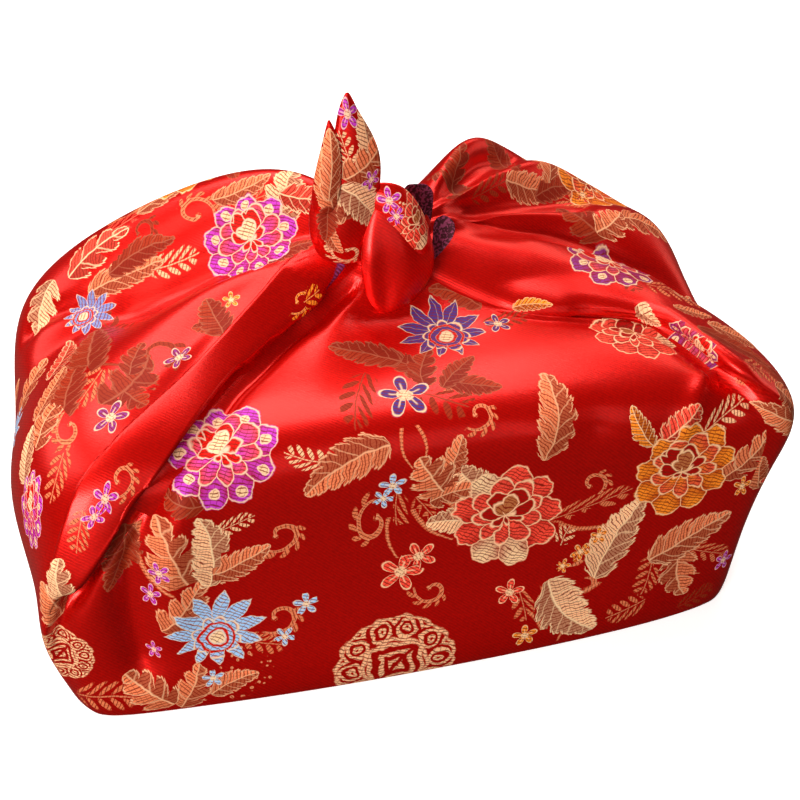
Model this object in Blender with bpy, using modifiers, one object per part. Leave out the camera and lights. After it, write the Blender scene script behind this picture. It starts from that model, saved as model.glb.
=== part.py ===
"""A furoshiki wrap: one square of satin brocade tied around an oblong box.

The cloth is one closed solid.  Its folds run like the meridians of a globe,
from the floor, up a side and over the top to the knot.  FOLDS holds one row
for each of them and one column for each height where it is measured.  The
coarse cage that they span is rounded by a Subdivision Surface modifier, and
the knot, with its tails, is joined to it.

Sizes are in millimetres.  +X is to the right, +Y to the back, +Z up.  The
origin is on the floor, under the middle of the box.
"""
from collections import namedtuple
from math import cos, radians, sin, tau

import bmesh
import bpy
from mathutils import Matrix, Vector

MM = 0.001

FLOOR_SINK = -6.0       # the underside's cage, flattened onto the floor later
RIM_INSET = 4.0         # how far the underside's rim lies inside the foot
UNDERSIDE_SCALE = 0.85  # an inner ring of the underside, against the foot
FOOT_HEIGHT = 9.0
BELLY_HEIGHT = 45.0
NECK_CORE = (4.0, 9.0, 163.0)    # where all folds meet, inside the knot
BODY_LEVELS = 2
KNOT_LEVELS = 1
SECTION_POINTS = 8

SATIN_RED = (0.62, 0.01, 0.012, 1.0)
SATIN_ROUGHNESS = 0.38

# The folds in order, from the middle of the front round by the left end.
# foot and belly: x, y at their own heights.  The rest: x, y, z.
Fold = namedtuple("Fold", "name foot belly waist edge brow crown saddle neck")
FOLDS = [Fold(*row) for row in (
    ("front_middle", (5, -94), (5, -85), (5, -83, 88), (3, -85, 121),
     (0, -68, 133), (0, -46, 135), (0, -28, 135), (2, -15, 138)),
    ("front_left", (-55, -93), (-55, -85), (-55, -83, 88), (-52, -85, 121),
     (-46, -68, 133), (-32, -46, 135), (-18, -26, 136), (-7, -13, 140)),
    ("front_by_band", (-110, -89), (-114, -84), (-112, -82, 84), (-98, -85, 118),
     (-80, -66, 132), (-56, -40, 134), (-30, -21, 137), (-13, -10, 143)),
    ("panel_ridge", (-143, -86), (-152, -85), (-140, -91, 77), (-116, -84, 112),
     (-96, -68, 129), (-68, -32, 131), (-40, -15, 135), (-19, -7, 144)),
    ("band_tuck", (-149, -80), (-156, -77), (-145, -70, 72), (-125, -79, 110),
     (-106, -66, 127), (-77, -27, 130), (-46, -10, 136), (-24, -3, 146)),
    ("band_lip", (-153, -74), (-163, -82), (-155, -92, 68), (-126, -91, 104),
     (-98, -75, 134), (-68, -33, 138), (-38, -13, 146), (-20, -7, 154)),
    ("band_top", (-155, -66), (-162, -74), (-160, -82, 76), (-134, -86, 120),
     (-108, -62, 139), (-76, -22, 145), (-44, -3, 158), (-22, 0, 163)),
    ("band_crease", (-156, -55), (-160, -59), (-160, -76, 88), (-140, -76, 124),
     (-117, -52, 132), (-86, -22, 137), (-54, 1, 156), (-26, 5, 166)),
    ("left_lobe", (-156, -26), (-160, -28), (-171, -36, 86), (-163, -40, 118),
     (-132, -30, 139), (-100, -8, 146), (-64, 8, 160), (-28, 10, 169)),
    ("left_valley", (-156, 10), (-161, 12), (-163, 14, 86), (-149, 17, 113),
     (-132, 20, 126), (-102, 20, 135), (-64, 20, 149), (-29, 15, 165)),
    ("left_upper_lobe", (-155, 45), (-159, 48), (-161, 50, 88), (-160, 52, 123),
     (-128, 46, 146), (-94, 42, 160), (-56, 36, 174), (-27, 24, 178)),
    ("left_crest", (-143, 77), (-148, 79), (-149, 79, 88), (-149, 76, 127),
     (-120, 68, 153), (-85, 60, 172), (-49, 47, 187), (-22, 31, 190)),
    ("back_left", (-104, 86), (-106, 86), (-106, 87, 88), (-104, 87, 126),
     (-90, 78, 148), (-66, 68, 166), (-38, 54, 180), (-14, 35, 181)),
    ("back_left_valley", (-55, 86), (-56, 86), (-56, 87, 88), (-52, 87, 124),
     (-46, 76, 142), (-34, 63, 156), (-18, 47, 166), (-6, 32, 170)),
    ("back_middle", (0, 86), (0, 86), (0, 87, 88), (0, 87, 122),
     (0, 73, 136), (0, 57, 145), (0, 42, 153), (5, 29, 162)),
    ("back_right_valley", (55, 86), (56, 86), (56, 87, 88), (52, 87, 124),
     (46, 76, 141), (40, 62, 153), (28, 46, 161), (18, 29, 164)),
    ("right_crest", (100, 86), (102, 86), (102, 87, 88), (101, 86, 128),
     (87, 76, 157), (70, 63, 187), (54, 50, 199), (31, 26, 169)),
    ("right_back_valley", (126, 85), (127, 85), (126, 86, 88), (124, 84, 126),
     (102, 73, 149), (80, 58, 163), (57, 41, 167), (33, 22, 168)),
    ("right_second_lobe", (143, 79), (144, 79), (143, 79, 88), (141, 77, 127),
     (114, 66, 151), (95, 58, 173), (64, 38, 176), (34, 19, 171)),
    ("right_second_valley", (154, 61), (154, 62), (153, 62, 88), (152, 60, 126),
     (129, 53, 139), (100, 45, 146), (70, 33, 155), (35, 17, 166)),
    ("right_third_lobe", (157, 35), (157, 36), (158, 36, 88), (158, 35, 127),
     (139, 37, 146), (106, 33, 154), (73, 26, 162), (36, 14, 168)),
    ("right_deep_valley", (156, -8), (156, -8), (157, -10, 84), (150, -14, 112),
     (130, 3, 127), (105, 15, 137), (74, 17, 149), (36, 11, 161)),
    ("right_front_lobe", (151, -56), (153, -58), (165, -60, 82), (175, -64, 112),
     (154, -36, 126), (119, -14, 140), (77, -1, 154), (36, 4, 160)),
    ("right_lip", (148, -77), (150, -80), (159, -82, 80), (170, -88, 109),
     (134, -84, 130), (124, -34, 136), (67, -30, 137), (31, -4, 150)),
    ("right_tuck", (144, -84), (146, -85), (153, -86, 80), (157, -86, 104),
     (127, -74, 124), (117, -29, 130), (67, -20, 131), (29, 0, 144)),
    ("front_by_lip", (108, -90), (109, -86), (114, -85, 86), (118, -87, 119),
     (108, -64, 132), (92, -42, 134), (46, -32, 135), (19, -14, 141)),
    ("front_right", (58, -93), (60, -86), (62, -84, 88), (60, -86, 121),
     (52, -68, 132), (38, -46, 135), (24, -28, 136), (11, -15, 139)),
)]

# The knot's bodies: rows of sections from one end to the other.  turn swings
# a section's width about the upright axis, from +X towards +Y, and tilt lifts
# its width's end.
Section = namedtuple("Section", "x y z half_width half_thickness turn tilt")
TALL_TAIL = [Section(*row) for row in (
    (-13, -4, 156, 8, 6, 10, 0),
    (-17, -6, 166, 13, 9, 10, -8),
    (-15, -4, 182, 17, 8, 8, -5),
    (-12, -1, 199, 16.5, 6, 0, 0),
    (-9.5, 2, 213, 13, 4.5, -5, 0),
    (-8.5, 4, 226, 6.5, 3, -5, 0),
    (-8, 5, 236, 1.5, 1.2, -5, 0),
)]
TAIL_CORNER = [Section(*row) for row in (
    (-16, 2, 186, 7, 5, 0, 0),
    (-19, 3, 203, 5, 3.5, 0, 0),
    (-19, 4, 221, 1.2, 1.2, 0, 0),
)]
FRONT_LOOP = [Section(*row) for row in (
    (4, -6, 178, 6, 5, 0, 0),
    (6, -12, 166, 13, 7, 5, 8),
    (9, -15, 153, 17, 8, 5, 12),
    (6, -15, 142, 12, 6, 0, 12),
    (4, -13, 133, 3, 3, 0, 0),
)]
SHORT_TAIL = [Section(*row) for row in (
    (10, 6, 180, 7, 4, 60, 0),
    (22, 8, 179, 11, 4, 70, 0),
    (33, 4, 171, 10, 4, 75, 0),
    (38, 2, 162, 4, 2, 75, 0),
)]
KNOT_MIDDLE = (7.0, 4.0, 169.0)
KNOT_HALF_SIZE = (21.0, 17.0, 20.0)

ALL_BODIES = "furoshiki_wrap"
JOINED_BODIES = "knot_bodies"


def empty_scene():
    """Remove what a new Blender file holds."""
    for thing in list(bpy.data.objects):
        bpy.data.objects.remove(thing, do_unlink=True)


def collection(name):
    """Return a new collection of the scene."""
    group = bpy.data.collections.new(name)
    bpy.context.scene.collection.children.link(group)
    return group


def ringed_mesh(name, rings, first_pole, last_pole):
    """Return a closed mesh that joins equal rings of points, with a pole at each end."""
    mesh = bmesh.new()
    loops = [[mesh.verts.new(point) for point in ring] for ring in rings]
    for low, high in zip(loops, loops[1:]):
        for i in range(len(low)):
            k = (i + 1) % len(low)
            mesh.faces.new((low[i], low[k], high[k], high[i]))
    for loop, pole in ((loops[0], first_pole), (loops[-1], last_pole)):
        middle = mesh.verts.new(pole)
        for i in range(len(loop)):
            mesh.faces.new((loop[i], loop[(i + 1) % len(loop)], middle))
    bmesh.ops.recalc_face_normals(mesh, faces=mesh.faces)
    data = bpy.data.meshes.new(name)
    mesh.to_mesh(data)
    mesh.free()
    return data


def rounded(name, data, levels):
    """Return the mesh that a Subdivision Surface makes of a cage."""
    cage = bpy.data.objects.new(name, data)
    bpy.context.scene.collection.objects.link(cage)
    subdivision = cage.modifiers.new("rounding", "SUBSURF")
    subdivision.levels = subdivision.render_levels = levels
    scene_now = bpy.context.evaluated_depsgraph_get()
    smooth = bpy.data.meshes.new_from_object(cage.evaluated_get(scene_now))
    bpy.data.objects.remove(cage, do_unlink=True)
    smooth.shade_smooth()
    return smooth


def bundle_mesh():
    """Return the wrapped bundle without its knot, flat where it meets the floor."""
    feet = [Vector(fold.foot) for fold in FOLDS]
    rings = [[(*(foot * UNDERSIDE_SCALE), FLOOR_SINK) for foot in feet],
             [(*(foot - RIM_INSET * foot.normalized()), FLOOR_SINK) for foot in feet],
             [(*foot, FOOT_HEIGHT) for foot in feet],
             [(*fold.belly, BELLY_HEIGHT) for fold in FOLDS]]
    for column in ("waist", "edge", "brow", "crown", "saddle", "neck"):
        rings.append([getattr(fold, column) for fold in FOLDS])
    cage = ringed_mesh("bundle_cage", [[Vector(p) * MM for p in ring] for ring in rings],
                       Vector((0, 0, FLOOR_SINK)) * MM, Vector(NECK_CORE) * MM)
    bundle = rounded("bundle_cage", cage, BODY_LEVELS)
    for vertex in bundle.vertices:
        vertex.co.z = max(vertex.co.z, 0.0)
    return bundle


def knot_loft(name, sections, group):
    """Add one body of the knot: flat oval sections, joined and rounded."""
    rings = []
    for row in sections:
        heading = Matrix.Rotation(radians(row.turn), 3, "Z") @ Matrix.Rotation(radians(-row.tilt), 3, "Y")
        ring = []
        for i in range(SECTION_POINTS):
            angle = tau * i / SECTION_POINTS
            oval = Vector((row.half_width * cos(angle), row.half_thickness * sin(angle), 0))
            ring.append((Vector((row.x, row.y, row.z)) + heading @ oval) * MM)
        rings.append(ring)
    ends = [Vector((row.x, row.y, row.z)) * MM for row in (sections[0], sections[-1])]
    return joined_body(name, rounded(name, ringed_mesh(name, rings, *ends), KNOT_LEVELS), group)


def joined_body(name, data, group):
    """Add a body that only serves to be joined to the cloth."""
    body = bpy.data.objects.new(name, data)
    group.objects.link(body)
    body.hide_render = True
    body.display_type = "WIRE"
    return body


def knot_core(group):
    """Add the round middle of the knot."""
    bpy.ops.mesh.primitive_uv_sphere_add(segments=20, ring_count=12, radius=1.0)
    ball = bpy.context.object
    ball.name = "knot_middle"
    for owner in list(ball.users_collection):
        owner.objects.unlink(ball)
    group.objects.link(ball)
    size = Matrix.Diagonal((*[half * MM for half in KNOT_HALF_SIZE], 1.0))
    ball.data.transform(Matrix.Translation(Vector(KNOT_MIDDLE) * MM) @ size)
    ball.hide_render = True
    ball.display_type = "WIRE"
    return ball


def satin():
    """Return the cloth's material."""
    material = bpy.data.materials.new("red_satin_brocade")
    material.use_nodes = True
    shader = material.node_tree.nodes["Principled BSDF"]
    shader.inputs["Base Color"].default_value = SATIN_RED
    shader.inputs["Roughness"].default_value = SATIN_ROUGHNESS
    shader.inputs["Metallic"].default_value = 0.0
    return material


def main():
    empty_scene()
    parts = collection(ALL_BODIES)
    joined = collection(JOINED_BODIES)

    cloth = bpy.data.objects.new("furoshiki_cloth", bundle_mesh())
    parts.objects.link(cloth)
    cloth.data.materials.append(satin())

    bodies = [knot_core(joined)]
    for name, sections in (("tall_tail", TALL_TAIL), ("tail_corner", TAIL_CORNER),
                           ("front_loop", FRONT_LOOP), ("short_tail", SHORT_TAIL)):
        bodies.append(knot_loft(name, sections, joined))
    for body in bodies:
        union = cloth.modifiers.new("join_" + body.name, "BOOLEAN")
        union.operation = "UNION"
        union.solver = "EXACT"
        union.object = body


main()
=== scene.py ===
"""The looks of a furoshiki wrap: a square of satin brocade tied around a box."""

from collections import namedtuple
from math import copysign, cos, hypot, radians, sin, tau

import bmesh
import bpy
import numpy as np
from mathutils import Matrix, Vector
from mathutils.bvhtree import BVHTree


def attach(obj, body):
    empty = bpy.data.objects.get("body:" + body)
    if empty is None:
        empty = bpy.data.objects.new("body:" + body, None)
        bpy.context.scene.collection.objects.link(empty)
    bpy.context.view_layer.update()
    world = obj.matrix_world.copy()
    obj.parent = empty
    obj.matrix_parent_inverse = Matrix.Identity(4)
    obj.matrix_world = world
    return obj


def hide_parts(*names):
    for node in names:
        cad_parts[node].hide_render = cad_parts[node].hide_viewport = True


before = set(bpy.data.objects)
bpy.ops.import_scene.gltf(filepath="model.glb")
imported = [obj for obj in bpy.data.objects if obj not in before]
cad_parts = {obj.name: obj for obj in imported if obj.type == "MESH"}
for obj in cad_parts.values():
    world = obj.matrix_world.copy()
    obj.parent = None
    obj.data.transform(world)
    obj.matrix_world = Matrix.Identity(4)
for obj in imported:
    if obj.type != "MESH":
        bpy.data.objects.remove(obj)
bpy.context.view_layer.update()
MM = 0.001


# ---------------------------------------------------------------- the view
# A camera above the front left corner looks down on the wrap, so that the front
# panel, the folded band and both wings show.
VIEW_AZIMUTH, VIEW_ELEVATION = radians(-14.23), radians(36.4)
VIEW_DISTANCE = 0.687
VIEW_TARGET = Vector((0.0102, 0.0, 0.0815))
FOCAL_LENGTH, SENSOR_WIDTH = 67.5, 36.0
towards_camera = Vector((sin(VIEW_AZIMUTH) * cos(VIEW_ELEVATION),
                         -cos(VIEW_AZIMUTH) * cos(VIEW_ELEVATION), sin(VIEW_ELEVATION)))
lens = bpy.data.cameras.new("view")
lens.lens, lens.sensor_width = FOCAL_LENGTH, SENSOR_WIDTH
camera = bpy.data.objects.new("view", lens)
camera.location = VIEW_TARGET + VIEW_DISTANCE * towards_camera
camera.rotation_euler = towards_camera.to_track_quat("Z", "Y").to_euler()
bpy.context.scene.collection.objects.link(camera)
bpy.context.scene.camera = camera
bpy.context.scene.view_settings.view_transform = "Standard"


# ---------------------------------------------------------------- the studio
# A wide skylight, a low lamp at the left, weaker light from the other sides, and
# white paper below.  Paper and room look brighter to the camera than to the
# cloth, which mirrors a dark room.
FLOOR_SIZE = 6.0
PAPER_SEEN, PAPER_MIRRORED = (0.84, 0.88, 0.94, 1), (0.05, 0.045, 0.04, 1)
PAPER_GLOW, PAPER_ROUGHNESS = 0.6, 0.9
bpy.ops.mesh.primitive_plane_add(size=FLOOR_SIZE)
floor = bpy.context.object
floor.name = "studio_floor"
paper = bpy.data.materials.new("pale_paper")
paper.use_nodes = True
paper_links, paper_shader = paper.node_tree.links, paper.node_tree.nodes["Principled BSDF"]
seen = paper.node_tree.nodes.new("ShaderNodeLightPath").outputs["Is Camera Ray"]
paper_colour = paper.node_tree.nodes.new("ShaderNodeMix")
paper_colour.data_type = "RGBA"
paper_colour.inputs[6].default_value = PAPER_MIRRORED
paper_colour.inputs[7].default_value = PAPER_SEEN
paper_links.new(seen, paper_colour.inputs[0])
paper_links.new(paper_colour.outputs[2], paper_shader.inputs["Base Color"])
paper_links.new(seen, paper_shader.inputs["Emission Color"])
paper_shader.inputs["Emission Strength"].default_value = PAPER_GLOW
paper_shader.inputs["Roughness"].default_value = PAPER_ROUGHNESS
floor.data.materials.append(paper)

SoftLight = namedtuple("SoftLight", "name place aim size watts colour")
WARM, ROSY = (1, 0.94, 0.84), (1, 0.62, 0.48)
for light in (
        SoftLight("skylight", (-0.12, 0.45, 1.2), (-0.12, 0, 0.1), (1.2, 0.8), 17, WARM),
        SoftLight("left_window", (-0.82, -0.25, 1.15), (0, 0, 0.1), (0.5, 0.45), 3.2, ROSY),
        SoftLight("left_back", (-0.95, 0.5, 0.65), (-0.1, 0, 0.1), (0.5, 0.5), 2.5, WARM),
        SoftLight("right_window", (0.8, 0.7, 0.85), (0, 0, 0.12), (0.6, 0.5), 2.5, ROSY),
        SoftLight("low_right", (1.1, 0.15, 0.32), (0.1, 0, 0.18), (0.8, 0.5), 1.8, ROSY),
        SoftLight("low_left", (-0.75, -0.95, 0.5), (0, 0, 0.08), (0.5, 0.5), 15, WARM),
        SoftLight("room_front", (-0.1, -2.0, 0.8), (0, 0, 0.08), (2.0, 1.4), 6, WARM)):
    data = bpy.data.lights.new(light.name, "AREA")
    data.shape = "RECTANGLE"
    data.size, data.size_y = light.size
    data.energy, data.color = light.watts, light.colour
    lamp = bpy.data.objects.new(light.name, data)
    lamp.location = light.place
    backwards = Vector(light.place) - Vector(light.aim)
    lamp.rotation_euler = backwards.to_track_quat("Z", "Y").to_euler()
    bpy.context.scene.collection.objects.link(lamp)
ROOM_GLOW, ROOM_SEEN = 0.04, 0.9
room = bpy.data.worlds.new("room")
room.use_nodes = True
background = room.node_tree.nodes["Background"]
background.inputs["Color"].default_value = (1, 1, 1, 1)
seen = room.node_tree.nodes.new("ShaderNodeLightPath").outputs["Is Camera Ray"]
glow = room.node_tree.nodes.new("ShaderNodeMath")
glow.operation = "MULTIPLY_ADD"
glow.inputs[1].default_value, glow.inputs[2].default_value = ROOM_SEEN, ROOM_GLOW
room.node_tree.links.new(seen, glow.inputs[0])
room.node_tree.links.new(glow.outputs[0], background.inputs["Strength"])
bpy.context.scene.world = room


# ---------------------------------------------------------------- the wrapped cloth
# The square's middle lies under the box.  Its front and back corners go over
# the top first; the two side corners gather from the ends up to the knot.
FLOOR_SINK = -6.0
RIM_INSET = 4.0
UNDERSIDE_SCALE = 0.85
FOOT_HEIGHT = 9.0
BELLY_HEIGHT = 45.0
NECK_CORE = (4.0, 9.0, 163.0)
CLOTH_LEVELS = 4
# Each fold is a line of points in millimetres, from the bundle's foot up to the
# knot.  Foot and belly lie at the heights above.
PANEL, LEFT_WING, RIGHT_WING, TAIL, LOOP, LOBE, WRONG_SIDE, HIDDEN = range(8)
Fold = namedtuple("Fold", "name region foot belly waist edge brow crown saddle neck")
FOLDS = [Fold(*row) for row in (
    ("front_middle", PANEL, (5, -94), (5, -85), (5, -83, 88), (3, -85, 121),
     (0, -68, 133), (0, -46, 135), (0, -28, 135), (2, -15, 138)),
    ("front_left", PANEL, (-55, -93), (-55, -85), (-55, -83, 88), (-52, -85, 121),
     (-46, -68, 133), (-32, -46, 135), (-18, -26, 136), (-7, -13, 140)),
    ("front_by_band", PANEL, (-110, -89), (-114, -84), (-112, -82, 84), (-98, -85, 118),
     (-80, -66, 132), (-56, -40, 134), (-30, -21, 137), (-13, -10, 143)),
    ("panel_ridge", PANEL, (-143, -86), (-152, -85), (-140, -91, 77), (-116, -84, 112),
     (-96, -68, 129), (-68, -32, 131), (-40, -15, 135), (-19, -7, 144)),
    ("band_tuck", LEFT_WING, (-149, -80), (-156, -77), (-145, -70, 72), (-125, -79, 110),
     (-106, -66, 127), (-77, -27, 130), (-46, -10, 136), (-24, -3, 146)),
    ("band_lip", LEFT_WING, (-153, -74), (-163, -82), (-155, -92, 68), (-126, -91, 104),
     (-98, -75, 134), (-68, -33, 138), (-38, -13, 146), (-20, -7, 154)),
    ("band_top", LEFT_WING, (-155, -66), (-162, -74), (-160, -82, 76), (-134, -86, 120),
     (-108, -62, 139), (-76, -22, 145), (-44, -3, 158), (-22, 0, 163)),
    ("band_crease", LEFT_WING, (-156, -55), (-160, -59), (-160, -76, 88), (-140, -76, 124),
     (-117, -52, 132), (-86, -22, 137), (-54, 1, 156), (-26, 5, 166)),
    ("left_lobe", LEFT_WING, (-156, -26), (-160, -28), (-171, -36, 86), (-163, -40, 118),
     (-132, -30, 139), (-100, -8, 146), (-64, 8, 160), (-28, 10, 169)),
    ("left_valley", LEFT_WING, (-156, 10), (-161, 12), (-163, 14, 86), (-149, 17, 113),
     (-132, 20, 126), (-102, 20, 135), (-64, 20, 149), (-29, 15, 165)),
    ("left_upper_lobe", LEFT_WING, (-155, 45), (-159, 48), (-161, 50, 88), (-160, 52, 123),
     (-128, 46, 146), (-94, 42, 160), (-56, 36, 174), (-27, 24, 178)),
    ("left_crest", LEFT_WING, (-143, 77), (-148, 79), (-149, 79, 88), (-149, 76, 127),
     (-120, 68, 153), (-85, 60, 172), (-49, 47, 187), (-22, 31, 190)),
    ("back_left", LEFT_WING, (-104, 86), (-106, 86), (-106, 87, 88), (-104, 87, 126),
     (-90, 78, 148), (-66, 68, 166), (-38, 54, 180), (-14, 35, 181)),
    ("back_left_valley", LEFT_WING, (-55, 86), (-56, 86), (-56, 87, 88), (-52, 87, 124),
     (-46, 76, 142), (-34, 63, 156), (-18, 47, 166), (-6, 32, 170)),
    ("back_middle", RIGHT_WING, (0, 86), (0, 86), (0, 87, 88), (0, 87, 122),
     (0, 73, 136), (0, 57, 145), (0, 42, 153), (5, 29, 162)),
    ("back_right_valley", RIGHT_WING, (55, 86), (56, 86), (56, 87, 88), (52, 87, 124),
     (46, 76, 141), (40, 62, 153), (28, 46, 161), (18, 29, 164)),
    ("right_crest", RIGHT_WING, (100, 86), (102, 86), (102, 87, 88), (101, 86, 128),
     (87, 76, 157), (70, 63, 187), (54, 50, 199), (31, 26, 169)),
    ("right_back_valley", RIGHT_WING, (126, 85), (127, 85), (126, 86, 88), (124, 84, 126),
     (102, 73, 149), (80, 58, 163), (57, 41, 167), (33, 22, 168)),
    ("right_second_lobe", RIGHT_WING, (143, 79), (144, 79), (143, 79, 88), (141, 77, 127),
     (114, 66, 151), (95, 58, 173), (64, 38, 176), (34, 19, 171)),
    ("right_second_valley", RIGHT_WING, (154, 61), (154, 62), (153, 62, 88), (152, 60, 126),
     (129, 53, 139), (100, 45, 146), (70, 33, 155), (35, 17, 166)),
    ("right_third_lobe", RIGHT_WING, (157, 35), (157, 36), (158, 36, 88), (158, 35, 127),
     (139, 37, 146), (106, 33, 154), (73, 26, 162), (36, 14, 168)),
    ("right_deep_valley", RIGHT_WING, (156, -8), (156, -8), (157, -10, 84), (150, -14, 112),
     (130, 3, 127), (105, 15, 137), (74, 17, 149), (36, 11, 161)),
    ("right_front_lobe", RIGHT_WING, (151, -56), (153, -58), (165, -60, 82), (175, -64, 112),
     (154, -36, 126), (119, -14, 140), (77, -1, 154), (36, 4, 160)),
    ("right_lip", RIGHT_WING, (148, -77), (150, -80), (159, -82, 80), (170, -88, 109),
     (134, -84, 130), (124, -34, 136), (66, -31, 137), (31, -9, 147)),
    ("right_tuck", PANEL, (144, -84), (146, -85), (153, -86, 80), (157, -86, 104),
     (127, -74, 124), (117, -29, 130), (66, -25, 132), (28, -9, 143)),
    ("front_by_lip", PANEL, (108, -90), (109, -86), (114, -85, 86), (118, -87, 119),
     (108, -64, 132), (92, -42, 134), (46, -32, 135), (19, -14, 141)),
    ("front_right", PANEL, (58, -93), (60, -86), (62, -84, 88), (60, -86, 121),
     (52, -68, 132), (38, -46, 135), (24, -28, 136), (11, -15, 139)),
)]

COLUMNS = ("foot", "belly", "waist", "edge", "brow", "crown", "saddle", "neck")
UNDER_RINGS = 2  # rings of the cage below the one at the foot
# How sharply a fold turns: the fold, from which column to which, and how hard.
Sharp = namedtuple("Sharp", "fold start end hardness")
SHARP_FOLDS = [Sharp(*row) for row in (
    ("band_lip", "waist", "neck", 0.7),
    ("band_tuck", "waist", "neck", 0.8),
    ("right_lip", "edge", "saddle", 0.6),
    ("right_tuck", "edge", "saddle", 0.8),
    ("left_valley", "edge", "neck", 0.5),
    ("right_deep_valley", "edge", "saddle", 0.5),
    ("right_second_valley", "brow", "saddle", 0.4),
)]


def ringed_mesh(rings, first_pole, last_pole):
    """Return a closed bmesh that joins equal rings of points, with a pole at each end."""
    mesh = bmesh.new()
    loops = [[mesh.verts.new(point) for point in ring] for ring in rings]
    for low, high in zip(loops, loops[1:]):
        for i in range(len(low)):
            k = (i + 1) % len(low)
            mesh.faces.new((low[i], low[k], high[k], high[i])).material_index = i
    for loop, pole in ((loops[0], first_pole), (loops[-1], last_pole)):
        middle = mesh.verts.new(pole)
        for i in range(len(loop)):
            mesh.faces.new((loop[i], loop[(i + 1) % len(loop)], middle)).material_index = i
    bmesh.ops.recalc_face_normals(mesh, faces=mesh.faces)
    return mesh


def rounded(name, mesh, levels):
    """Return the mesh that a Subdivision Surface makes of a cage."""
    data = bpy.data.meshes.new(name)
    mesh.to_mesh(data)
    mesh.free()
    cage = bpy.data.objects.new(name, data)
    bpy.context.scene.collection.objects.link(cage)
    subdivision = cage.modifiers.new("rounding", "SUBSURF")
    subdivision.levels = subdivision.render_levels = levels
    scene_now = bpy.context.evaluated_depsgraph_get()
    smooth = bpy.data.meshes.new_from_object(cage.evaluated_get(scene_now))
    bpy.data.objects.remove(cage, do_unlink=True)
    smooth.shade_smooth()
    return smooth


feet = [Vector(fold.foot) for fold in FOLDS]
rings = [[(*(foot * UNDERSIDE_SCALE), FLOOR_SINK) for foot in feet],
         [(*(foot - RIM_INSET * foot.normalized()), FLOOR_SINK) for foot in feet],
         [(*foot, FOOT_HEIGHT) for foot in feet],
         [(*fold.belly, BELLY_HEIGHT) for fold in FOLDS]]
for column in COLUMNS[2:]:
    rings.append([getattr(fold, column) for fold in FOLDS])
cage = ringed_mesh(rings, (0, 0, FLOOR_SINK), NECK_CORE)
fold_names = [fold.name for fold in FOLDS]
hardness = cage.edges.layers.float.new("crease_edge")
cage.verts.ensure_lookup_table()
for row in SHARP_FOLDS:
    across = fold_names.index(row.fold)
    for column in range(COLUMNS.index(row.start), COLUMNS.index(row.end)):
        below = (UNDER_RINGS + column) * len(FOLDS) + across
        low, high = cage.verts[below], cage.verts[below + len(FOLDS)]
        cage.edges.get((low, high))[hardness] = row.hardness
skin = rounded("bundle_cage", cage, CLOTH_LEVELS)
for face in skin.polygons:
    face.material_index = FOLDS[face.material_index].region

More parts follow.
